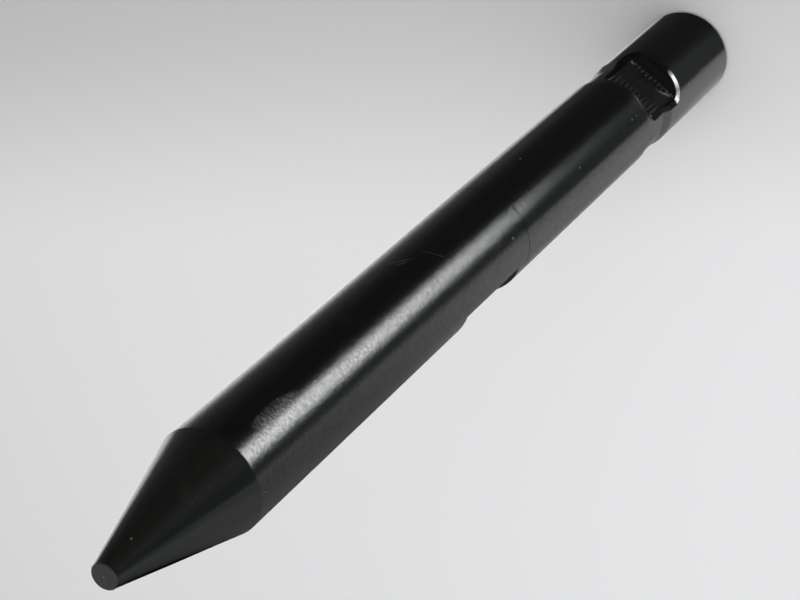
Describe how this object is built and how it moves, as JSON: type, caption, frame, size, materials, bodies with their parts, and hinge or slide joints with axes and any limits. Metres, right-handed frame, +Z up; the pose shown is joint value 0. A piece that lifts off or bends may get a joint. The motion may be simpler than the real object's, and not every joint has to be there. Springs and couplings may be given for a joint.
{
  "type": "hydraulic breaker chisel",
  "caption": "Round steel breaker chisel standing on its striking end, with a blunt conical point, a turned neck and a milled retainer slot with rounded ends.",
  "frame": {"origin": "centre of the striking face, on which the chisel stands", "axes": "+Z up the bar from the striking end to the point, the retainer slot facing -Y"},
  "size_m": [0.0536, 0.0536, 0.6],
  "materials": {
    "steel": "black, semi-gloss, finely turned"
  },
  "bodies": {
    "root": {"chisel": "steel"}
  },
  "joints": []
}
